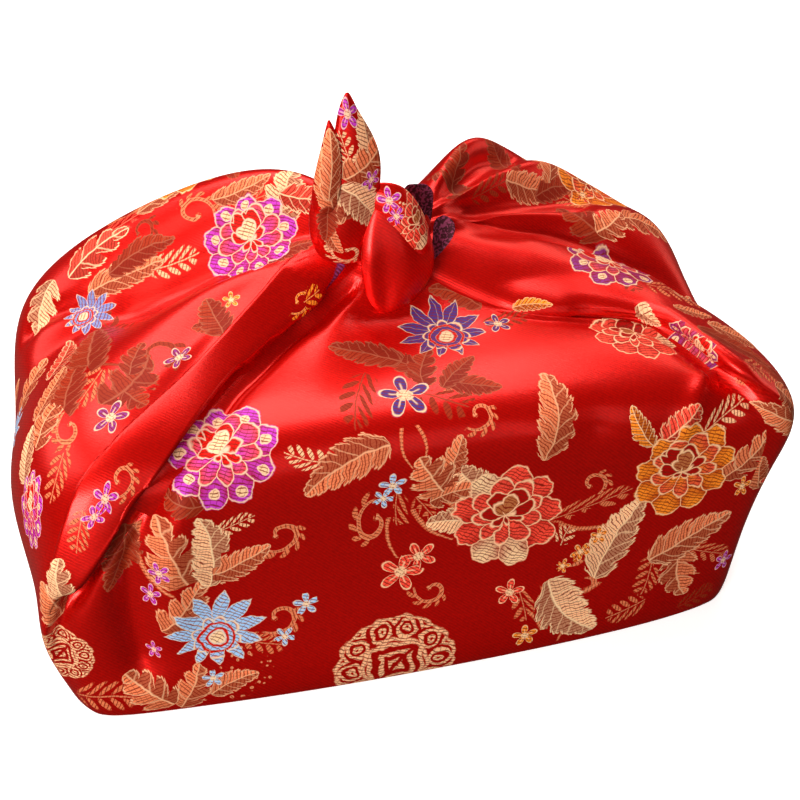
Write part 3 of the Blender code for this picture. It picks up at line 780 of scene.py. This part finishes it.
    ("bloom", -3, -8, 200, 5, 0.8, 30, "purple"),
    ("bloom", 3, -10, 191, 6, 0.9, 0, "purple"),
    ("bloom", 6, -11, 184, 5, 0.9, 40, "purple"),
    ("peony", 14, -12, 180, 15, 0.7, 20, "coral"),
    ("berries", 11, -10, 189, 8, 0.8, 30, "pale"),
    # small blossoms between the leaves of the front's right half
    ("bloom", 77, -86, 58, 5, 0.8, 0, "orange"),
    ("bloom", 69, -87, 51, 5, 0.9, 40, "orange"),
    ("bloom", 61, -88, 45, 4, 0.9, 20, "orange"),
    # the back of the knot
    ("lobed", -15, 8, 197, 13, 0.7, 20, "gold"),
    ("leaf", -10, 8, 213, 12, 0.5, 340, "pale"),
    ("leaf", -21, 8, 181, 11, 0.6, 30, "bronze"),
    ("leaf", -7, 8, 186, 10, 0.6, 330, "gold"),
    ("bloom", -9, 6, 226, 5, 0.8, 0, "purple"),
    ("peony", 5, 23, 171, 11, 1, 0, "coral"),
    ("leaf", -10, 18, 170, 10, 0.6, 300, "gold"),
    ("leaf", 19, 19, 170, 10, 0.6, 60, "gold"),
    ("bloom", 13, 18, 181, 5, 1, 0, "sky"),
    # the foot of the left corner
    ("spray", -140, -86, 12, 13, 0.9, 100, "gold"),
    ("berries", -84, -88, 13, 11, 1, 20, "gold"),
)]

# The sides that the table leaves out carry bouquets of the same motifs.
Bouquet = namedtuple("Bouquet", "x y z tint")
BOUQUETS = [Bouquet(*row) for row in (
    (-105, 86, 96, "coral"),
    (-42, 86, 44, "purple"),
    (12, 86, 100, "orange"),
    (66, 86, 46, "sky"),
    (112, 84, 104, "purple"),
    (-122, 84, 28, "sky"),
    (-161, 44, 62, "coral"),
    (-161, -22, 36, "orange"),
    (156, 30, 84, "coral"),
    (156, -34, 44, "purple"),
    (20, 60, 146, "coral"),
    (-66, 72, 166, "orange"),
    (92, 84, 138, "sky"),
    (120, 62, 148, "orange"),
    (-50, 87, 102, "sky"),
    (62, 87, 104, "coral"),
    (12, 86, 42, "coral"),
    (122, 85, 44, "orange"),
    (156, 62, 36, "sky"),
    (160, -58, 94, "orange"),
    (-161, 66, 28, "sky"),
)]
Small = namedtuple("Small", "kind across up size width turn tint")
AROUND = [Small(*row) for row in (
    ("leaf", -30, 12, 19, 0.42, 290, "gold"),
    ("lobed", 26, -18, 16, 0.55, 130, "pale"),
    ("leaf", 20, 26, 18, 0.4, 35, "gold"),
    ("spray", -14, -30, 15, 0.5, 200, "gold"),
    ("scroll", 36, 6, 14, 0.9, 70, "gold"),
    ("bloom", -24, -24, 7, 1, 20, "coral"),
    ("leaf", -10, 33, 14, 0.4, 340, "bronze"),
)]
END_FROM, BOUQUET_SIZE, BOUQUET_TURN = 150, 22, 10
for row in BOUQUETS:
    on_end = abs(row.x) > END_FROM
    across = Vector((0, copysign(1, row.x), 0)) if on_end else Vector((-1, 0, 0))
    flower = "lotus" if row.tint == "sky" else "peony"
    MOTIFS.append(Motif(flower, row.x, row.y, row.z, BOUQUET_SIZE, 1, BOUQUET_TURN, row.tint))
    for small in AROUND:
        spot = Vector((row.x, row.y, row.z)) + across * small.across + Vector((0, 0, small.up))
        MOTIFS.append(Motif(small.kind, *spot, small.size, small.width, small.turn, small.tint))

# How far a motif reaches, in its own sizes, and how much a bend may lengthen it.
REACH, SEARCH_REACH, MAX_STRETCH, TINY = 1.12, 1.3, 1.6, 1e-6
UPWARD = Vector((0, 0.6, 0.8))
SAME_WAY = 0.05
SEED_FROM, SEED_SPAN, GOLDEN_STEP = 0.2, 0.6, 0.618
FOLD_FOOT = 56  # below this height panel and wings are one unbroken cloth
points = read(cloth_mesh.vertices, "co") / MM
facing = read(cloth_mesh.polygons, "normal")
middles = read(cloth_mesh.polygons, "center") / MM
corner_points = read(cloth_mesh.loops, "vertex_index", 1, int).ravel()
corner_faces = np.repeat(np.arange(len(loops)), [len(loop) for loop in loops])
regions = np.array(regions)
surface = BVHTree.FromPolygons(points.tolist(), loops)
layers = {"flowers": FLOWERS, "leaves": LEAVES, "under_leaves": LEAVES, "sprigs": SPRIGS}
best = {name: np.full(len(loops), REACH) for name in layers}
woven_place = {name: np.zeros((len(corner_points), 3)) for name in layers}
woven_tint = {name: np.zeros((len(loops), 4)) for name in layers}
leaf_count = 0
for number, motif in enumerate(MOTIFS):
    centre, out, home, _ = surface.find_nearest(Vector((motif.x, motif.y, motif.z)))
    up = UPWARD - UPWARD.dot(out) * out
    up.normalize()
    up = Matrix.Rotation(radians(-motif.turn), 3, out) @ up
    right = up.cross(out)
    if motif.kind in LEAVES:
        layer = ("leaves", "under_leaves")[leaf_count % 2]
        leaf_count += 1
    else:
        layer = "flowers" if motif.kind in FLOWERS else "sprigs"

    def laid(spots):
        """Return motif coordinates, with distances kept along the bent cloth."""
        offset = spots - np.array(centre)
        flat = np.stack([offset @ np.array(right), offset @ np.array(up)], axis=1)
        stretch = np.linalg.norm(offset, axis=1) / np.maximum(np.linalg.norm(flat, axis=1), TINY)
        flat *= np.minimum(stretch, MAX_STRETCH)[:, None]
        return flat / (motif.size * motif.width, motif.size)

    below_folds = (middles[:, 2] < FOLD_FOOT) & (centre.z < FOLD_FOOT)
    apart = np.abs(middles - np.array(centre)).max(1)
    near = np.flatnonzero(((regions == regions[home]) | below_folds)
                          & (facing @ np.array(out) > SAME_WAY)
                          & (apart < motif.size * SEARCH_REACH))
    nearness = np.linalg.norm(laid(middles[near]), axis=1)
    chosen = near[nearness < best[layer][near]]
    best[layer][chosen] = nearness[nearness < best[layer][near]]
    mine = np.zeros(len(loops), bool)
    mine[chosen] = True
    spots = np.flatnonzero(mine[corner_faces])
    woven_place[layer][spots, :2] = laid(points[corner_points[spots]])
    # The whole part tells the shader the kind, and the fraction is the motif's seed.
    kind = layers[layer].index(motif.kind) + 1
    woven_place[layer][spots, 2] = kind + SEED_FROM + SEED_SPAN * ((number * GOLDEN_STEP) % 1)
    woven_tint[layer][chosen] = (*TINTS[motif.tint], motif.size * MM)
for name in layers:
    place = cloth_mesh.attributes.new(name + "_place", "FLOAT_VECTOR", "CORNER")
    place.data.foreach_set("vector", woven_place[name].ravel())
    tint = cloth_mesh.attributes.new(name + "_tint", "FLOAT_COLOR", "FACE")
    tint.data.foreach_set("color", woven_tint[name].ravel())
wrong_side = cloth_mesh.attributes.new("wrong_side", "FLOAT", "FACE")
wrong_side.data.foreach_set("value", (regions == WRONG_SIDE).astype(float))


# ---------------------------------------------------------------- the brocade's threads
# Red satin ground, with gold and coloured threads that float over it.  The
# wrong side is dull, where those threads run loose.
satin = bpy.data.materials.new("red_satin_brocade")
satin.use_nodes = True
shader = satin.node_tree.nodes["Principled BSDF"]
GROUND_RED, GROUND_DARK = (0.72, 0.003, 0.0006, 1), (0.42, 0.001, 0.0003, 1)
OUTLINE_GOLD, CORE_GOLD = (1.0, 0.70, 0.42, 1), (0.50, 0.15, 0.05, 1)
CREAM_THREAD, INNER_CORAL = (1.0, 0.68, 0.40, 1), (0.85, 0.07, 0.045, 1)
DARK_THREAD = (0.22, 0.009, 0.002, 1)
WRONG_DARK, WRONG_FLECK = (0.06, 0.010, 0.020, 1), (0.30, 0.05, 0.13, 1)


class Thread:
    """One socket of the shader, worked out with Python's arithmetic."""

    def __init__(self, socket):
        self.socket = socket

    @staticmethod
    def node(kind, settings, sockets, output=0):
        """Add a node and return one of its outputs."""
        made = satin.node_tree.nodes.new(kind)
        for name, value in settings.items():
            setattr(made, name, value)
        for name, value in sockets.items():
            if isinstance(value, Thread):
                satin.node_tree.links.new(value.socket, made.inputs[name])
            else:
                made.inputs[name].default_value = value
        return Thread(made.outputs[output])

    def calc(self, operation, *others, clamp=False):
        values = dict(enumerate((self, *others)))
        return Thread.node("ShaderNodeMath", {"operation": operation, "use_clamp": clamp}, values)

    def __add__(self, other):
        return self.calc("ADD", other)

    def __sub__(self, other):
        return self.calc("SUBTRACT", other)

    def __rsub__(self, other):
        return self.calc("MULTIPLY_ADD", -1.0, other)

    def __mul__(self, other):
        return self.calc("MULTIPLY", other)

    def __truediv__(self, other):
        return self.calc("DIVIDE", other)

    def __abs__(self):
        return self.calc("ABSOLUTE")

    __radd__, __rmul__ = __add__, __mul__

    def high(self, other):
        return self.calc("MAXIMUM", other)

    def low(self, other):
        return self.calc("MINIMUM", other)

    def within(self, softness=0.03):
        """Return 1 where the value is over 0, with a soft edge."""
        return self.calc("MULTIPLY_ADD", 1 / softness, 0.5, clamp=True)

    def thin(self, width, softness=0.03):
        """Return 1 along a line where the value is 0."""
        return (width - abs(self)).within(softness)

    def saw(self, count, shift=0.0):
        """Return -0.5 to 0.5, count times over."""
        return self.calc("MULTIPLY_ADD", count, shift).calc("FRACT") - 0.5


def blended(factor, first, second):
    """Return two colours mixed."""
    return Thread.node("ShaderNodeMix", {"data_type": "RGBA"}, {0: factor, 6: first, 7: second}, 2)


def vector_math(operation, *values, output=0):
    """Return what a Vector Math node makes of its values."""
    values = dict(enumerate(values))
    return Thread.node("ShaderNodeVectorMath", {"operation": operation}, values, output)


def length_of(across, up):
    """Return the length of a vector with two parts."""
    joined = Thread.node("ShaderNodeCombineXYZ", {}, {0: across, 1: up})
    return vector_math("LENGTH", joined, output="Value")


def split(vector):
    """Return the three numbers of a vector."""
    outputs = Thread.node("ShaderNodeSeparateXYZ", {}, {0: vector}).socket.node.outputs
    return [Thread(output) for output in outputs]


def share(colour, weights):
    """Return the weighted sum of a colour's red, green and blue."""
    return vector_math("DOT_PRODUCT", colour, weights, output="Value")


def petals(angle, count, shift, reach, hollow):
    """Return the way across each petal of a ring, and the ring's rim."""
    petal = angle.saw(count / tau, shift)
    return petal, reach - petal * petal * hollow


def seam(petal, radius, width=0.012):
    """Return the line between one petal and the next."""
    return ((abs(petal) - 0.5) * radius).thin(width, 0.02)


def oval(across, along):
    """Return a value that is over 0 inside an oval with half sizes of 1."""
    return 1 - across * across - along * along


# Each drawing gets a place in its motif, as u across and v along it and as radius
# and angle, with 1 at the motif's edge, then the motif's seed and its tint.  It
# returns its mask, its outlines and its colour.
EYED_BLUE = 0.2  # petals bluer than this have a pale eye
LINE = 0.018  # how wide the outlines are, in the motif's sizes


def peony(u, v, radius, angle, seed, tint):
    """Draw a peony seen from above and behind."""
    # The outer and the inner petals, the heart and the core each have a rim.
    sway = (angle * 2 + seed * 9).calc("SINE") * 0.06
    frill = abs(angle.saw(27 / tau)) * 0.06
    petal, rim = petals(angle, 9, 0.5, 1.0 + sway - frill, 0.8)
    inner_petal, inner_rim = petals(angle, 9, 0.0, 0.66 + sway, 0.7)
    heart_petal, heart_rim = petals(angle, 7, 0.2, 0.42 - sway, 0.5)
    core_rim = petals(angle, 5, 0.4, 0.22, 0.4)[1]
    inner_edge = inner_rim - length_of(u, v - 0.10)
    heart_radius = length_of(u + 0.03, v - 0.20)
    heart_edge, core_edge = heart_rim - heart_radius, core_rim - heart_radius
    mask, inner = (rim - radius).within(), inner_edge.within()
    heart, core = heart_edge.within(), core_edge.within()
    # Some petals are cream by luck, and bluish ones have a pale eye.
    petal_number = angle.calc("MULTIPLY_ADD", 9 / tau, 0.5).calc("FLOOR")
    luck = (petal_number * 2.4 + seed * 40).calc("SINE")
    paleness = share(tint, (0.0, 3.0, 3.0)) + 0.3
    eyed = (share(tint, (0.0, 0.0, 1.0)) - EYED_BLUE).within(0.05)
    eye = oval((radius - 0.74) / 0.10, petal / 0.17)
    cream = (eye.within(0.3) * eyed).high((luck - paleness).within(0.1))
    colour = blended(cream, tint, CREAM_THREAD)
    colour = blended((petal * petal * 3.2 + (0.8 - radius) * 1.2).low(0.7), colour, GROUND_DARK)
    inner_colour = blended((inner_edge * 2.4).low(1.0), INNER_CORAL, tint)
    inner_colour = blended(inner_petal * inner_petal * 2.4, inner_colour, GROUND_DARK)
    colour = blended(inner, colour, inner_colour)
    colour = blended(heart, colour, blended(eyed, GROUND_DARK, GROUND_RED))
    colour = blended(core, colour, blended(eyed, CORE_GOLD, CREAM_THREAD))
    # Each ring's seams and rim are outlined, unless the next ring hides them.
    outline = seam(petal, radius) * (1 - inner)
    outline = outline.high(seam(inner_petal, radius) * (1 - heart) * inner)
    outline = outline.high(seam(heart_petal, radius, 0.014) * (1 - core) * heart)
    for edge in (rim - radius - 0.015, inner_edge, heart_edge):
        outline = outline.high(edge.thin(LINE))
    outline = outline.high(core_edge.thin(0.02))
    outline = outline.high(eye.thin(0.2, 0.3) * eyed * (1 - inner))
    return mask, outline * mask, colour


def lotus(u, v, radius, angle, seed, tint):
    """Draw a lotus seen from one side."""
    petal = angle.saw(11 / tau, 0.5)
    rim = 0.50 + (1 - abs(petal) * 2).calc("POWER", 0.7) * 0.50
    rim = rim - (0.0 - v).high(0.0) * 0.26
    mask = (rim - radius).within()
    heart_radius = length_of(u - 0.06, v + 0.12)
    heart_edge = petals(angle, 7, 0.3, 0.48, 0.45)[1] - heart_radius
    heart = heart_edge.within()
    arcs = heart_radius.saw(7.5).thin(0.2, 0.1) * heart
    colour = blended(arcs, tint, GROUND_RED)
    colour = blended((0.14 - heart_radius).within(), colour, CREAM_THREAD)
    vein = (petal * radius).thin(0.008, 0.015) * 0.5
    outline = seam(petal, radius).high(vein) * (1 - heart) * mask
    outline = outline.high((rim - radius - 0.015).thin(LINE)).high(heart_edge.thin(0.02))
    outline = outline.high((heart_radius - 0.15).thin(LINE))
    outline = outline.high((arcs - 0.5).thin(0.2, 0.3) * 0.6)
    return mask, outline, colour


def roundel(u, v, radius, angle, seed, tint):
    """Draw a fret inside a ring of curls."""
    rim = petals(angle, 16, 0.0, 1, 0.16)[1]
    coil = length_of(angle.saw(10 / tau) * radius * 0.63, radius - 0.74)
    curl = coil.saw(9.0).thin(0.24, 0.12) * (radius - 0.55).within()
    inside = (0.5 - radius).within()
    fret = abs(u).high(abs(v)).saw(6.0).thin(0.22, 0.12) * inside
    body = curl.high(fret * (1 - (u - v).thin(0.05) * inside))
    for ring, width in ((0.525, 0.035), (0.96, 0.03)):
        body = body.high((radius - ring).thin(width))
    return (rim - radius).within() * body, 0.0, tint


def bloom(u, v, radius, angle, seed, tint):
    """Draw a small flower with five petals."""
    petal, rim = petals(angle, 5, 0.5, 1.02, 4.0)
    mask = (rim - radius).within(0.08)
    colour = blended((0.2 - radius).within(0.08), tint, CREAM_THREAD)
    outline = (rim - radius - 0.05).thin(0.05, 0.06).high((radius - 0.24).thin(0.04, 0.05))
    outline = outline.high((petal * radius).thin(0.02, 0.05) * (0.6 - radius).within(0.1)) * mask
    return mask, outline, colour


def leaf(u, v, radius, angle, seed, tint, lobes, cut):
    """Draw a leaf with lobed edges and veins."""
    side = u + (seed - 0.5) * (1 - v * v) * 1.25
    reach = abs(side)
    half = (side * 8).within(1.0)
    slope = v - reach * 0.3 + half * 0.12
    lobe = slope.saw(lobes)
    width = (1 - v * v).high(0.0).calc("SQRT") * (0.84 - v * 0.22)
    width = width * (1 + (lobe * 0.8 - lobe * lobe * 2) * cut + slope.saw(8.0) * 0.12) - 0.03
    mask = (width - reach).within(0.06)
    veins = (v - reach * 0.5).saw(lobes, 0.5).thin(0.05, 0.07)
    lit = Thread.node("ShaderNodeVectorMath", {"operation": "SCALE"},
                      {0: tint, "Scale": v * 0.3 + 1.1})
    outline = side.thin(0.03, 0.05).high((width - reach - 0.03).thin(0.045, 0.05))
    return mask, outline.high(veins * 0.6) * mask, blended(half * 0.65, lit, DARK_THREAD)


def whole_leaf(*drawn):
    """Draw a leaf whose edges are cut a little."""
    return leaf(*drawn, 3.0, 0.3)


def lobed_leaf(*drawn):
    """Draw a leaf whose edges are cut into deep lobes."""
    return leaf(*drawn, 1.8, 0.65)


def scroll(u, v, radius, angle, seed, tint):
    """Draw a curling stem with leaflets along it."""
    along = angle.calc("MULTIPLY_ADD", 1 / tau, 0.5)
    off = radius - (0.22 + along * along * 0.62)
    thick = 0.03 + along * (1 - along) * 0.22
    stem = (thick - abs(off)).within(0.03)
    stem = stem.high((0.10 - length_of(u + 0.03, v + 0.22)).within(0.03))
    away = (off - 0.19) / 0.14
    slant = (angle.saw(11 / tau) - away * 0.2) / 0.27
    leaflets = oval(away, slant).within(0.4) * (along - 0.5).within(0.05)
    mask = stem.high(leaflets) * (0.97 - along).within(0.02)
    return mask, (thick - abs(off)).thin(0.02, 0.03) * stem, tint


def spray(u, v, radius, angle, seed, tint):
    """Draw a twig with pairs of leaflets."""
    side = u + (seed - 0.5) * (1 - v * v) * 0.8
    stem = side.thin(0.035, 0.05) * (1 - abs(v)).within(0.05)
    slant = (v - abs(side) * 0.7 + side * 0.3).saw(2.4) / 0.30
    leaflets = oval((abs(side) - 0.44) / 0.36, slant).within(0.4) * (0.95 - radius).within(0.1)
    return stem.high(leaflets), stem * 0.4, tint


def berries(u, v, radius, angle, seed, tint):
    """Draw a spray of berries."""
    spots = Thread.node("ShaderNodeCombineXYZ", {}, {0: u, 1: v, 2: seed * 9})
    ball = Thread.node("ShaderNodeTexVoronoi", {}, {"Vector": spots, "Scale": 3.4,
                                                    "Randomness": 0.7}, "Distance")
    mask = (0.30 - ball).within(0.08) * (0.92 - radius).within(0.1)
    return mask, (ball - 0.24).thin(0.05, 0.08) * mask, tint


def stem(u, v, radius, angle, seed, tint):
    """Draw a bare stem, thickest at its foot."""
    side = u - (1 - v * v) * 0.3
    mask = (0.07 - v * 0.04 - abs(side)).within(0.04) * (1 - abs(v)).within(0.05)
    return mask, side.thin(0.012, 0.03) * mask * 0.7, tint


def hemline(u, v, radius, angle, seed, tint):
    """Draw a short hem with its stitches."""
    mask = u.thin(0.13, 0.05) * (1 - abs(v)).within(0.05)
    stitches = v.saw(8.0).thin(0.22, 0.1) * u.thin(0.09, 0.04)
    return mask, stitches * mask, blended(0.6, tint, WRONG_DARK)


def noise(scale, detail, output="Fac"):
    """Return fine noise in the cloth."""
    sockets = {"Scale": scale, "Detail": detail, "Vector": weave}
    return Thread.node("ShaderNodeTexNoise", {}, sockets, output)


def stored(name, output):
    """Return what the cloth's mesh holds under a name."""
    return Thread.node("ShaderNodeAttribute", {"attribute_name": name}, {}, output)


# Each layer of threads, lowest first: a drawing for each of its kinds, in their
# order, how much the weaver's hand wavers, and how golden its outlines are.
ThreadLayer = namedtuple("ThreadLayer", "name drawings wobble gilt")
THREAD_LAYERS = (
    ThreadLayer("sprigs", (scroll, spray, berries, stem, hemline), 0.16, 0.5),
    ThreadLayer("under_leaves", (whole_leaf, lobed_leaf), 0.30, 0.8),
    ThreadLayer("leaves", (whole_leaf, lobed_leaf), 0.30, 1.0),
    ThreadLayer("flowers", (peony, lotus, roundel, bloom), 0.22, 0.86),
)
HATCH_LINES, CROSS_LINES, HATCH_DEPTH = 0.6, 0.36, 0.95
RIB_SCALE, GRAIN_SCALE, WOBBLE_SCALE, FLECK_SCALE = 330.0, 700.0, 130.0, 900.0
RIB_SHADE, RIB_RELIEF, GRAIN_RELIEF, GRAIN_ROUGHNESS = 0.35, 0.10, 0.16, 0.04
weave = Thread.node("ShaderNodeTexCoord", {}, {}, "Object")
wobble = vector_math("SUBTRACT", noise(WOBBLE_SCALE, 3.0, "Color"), (0.5, 0.5, 0.5))
ribs = Thread.node("ShaderNodeTexWave", {"wave_type": "BANDS", "bands_direction": "DIAGONAL"},
                   {"Scale": RIB_SCALE, "Distortion": 1.5, "Detail": 2.0, "Vector": weave}, "Fac")
grain = noise(GRAIN_SCALE, 2.0)
colour = blended(ribs * RIB_SHADE + (grain - 0.4), GROUND_RED, GROUND_DARK)
cover = 0.0
for layer in THREAD_LAYERS:
    place, tint = stored(layer.name + "_place", "Vector"), stored(layer.name + "_tint", "Color")
    size = Thread(tint.socket.node.outputs["Alpha"]) / MM
    across, _, code = split(place)
    kind, seed = code.calc("FLOOR"), code.calc("FRACT")
    u, v, _ = split(vector_math("MULTIPLY_ADD", wobble, (layer.wobble,) * 3, place))
    radius, angle = length_of(u, v), u.calc("ARCTAN2", v)
    # Each motif takes the drawing that its kind names.
    mask, outline, own = 0.0, 0.0, tint
    for number, draw in enumerate(layer.drawings):
        its_mask, its_outline, its_colour = draw(u, v, radius, angle, seed, tint)
        mine = kind.calc("COMPARE", number + 1.0, 0.1)
        mask = its_mask * mine + mask
        outline = its_outline * mine + outline
        if its_colour is not tint:
            own = blended(mine, own, its_colour)
    hatch = ((u * 0.35 + v) * size).saw(HATCH_LINES).thin(0.13, 0.12)
    cross_hatch = ((across - v * 0.5) * size).saw(CROSS_LINES).thin(0.06, 0.08) * 0.6
    own = blended(hatch.high(cross_hatch) * HATCH_DEPTH, own, DARK_THREAD)
    gilt = layer.gilt
    if layer.name != "flowers":
        brightness = Thread.node("ShaderNodeSeparateColor", {}, {0: tint}, "Red")
        gilt = brightness * brightness * gilt
    own = blended(outline, own, blended(gilt, tint, OUTLINE_GOLD))
    colour = blended(mask, colour, own)
    cover = mask.high(cover)

wrong = stored("wrong_side", "Fac")
flecks = (noise(FLECK_SCALE, 1.0) - 0.52).within(0.1)
colour = blended(wrong, colour, blended(flecks, WRONG_DARK, WRONG_FLECK))
cover = cover.high(wrong)
relief = ribs * RIB_RELIEF + grain * GRAIN_RELIEF
bump = Thread.node("ShaderNodeBump", {}, {"Strength": 0.45, "Distance": 0.0006, "Height": relief})
# Bare satin is glossy and gleams like metal; the threads over it are duller.
BARE_ROUGHNESS, BARE_METALLIC, BARE_COAT = 0.33, 0.58, 0.32
DULLED_ROUGHNESS, DULLED_METALLIC, DULLED_COAT = 0.24, 0.52, 0.30
COAT_ROUGHNESS, SHEEN_LEVEL = 0.24, 0.15
for socket, value in (
        ("Base Color", colour),
        ("Roughness", cover * DULLED_ROUGHNESS + BARE_ROUGHNESS + grain * GRAIN_ROUGHNESS),
        ("Metallic", BARE_METALLIC - cover * DULLED_METALLIC),
        ("Coat Weight", BARE_COAT - cover * DULLED_COAT),
        ("Normal", bump)):
    satin.node_tree.links.new(value.socket, shader.inputs[socket])
shader.inputs["Coat Roughness"].default_value = COAT_ROUGHNESS
shader.inputs["Specular IOR Level"].default_value = SHEEN_LEVEL
cloth_mesh.materials.append(satin)

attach(cloth, "root")
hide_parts("furoshiki_cloth")
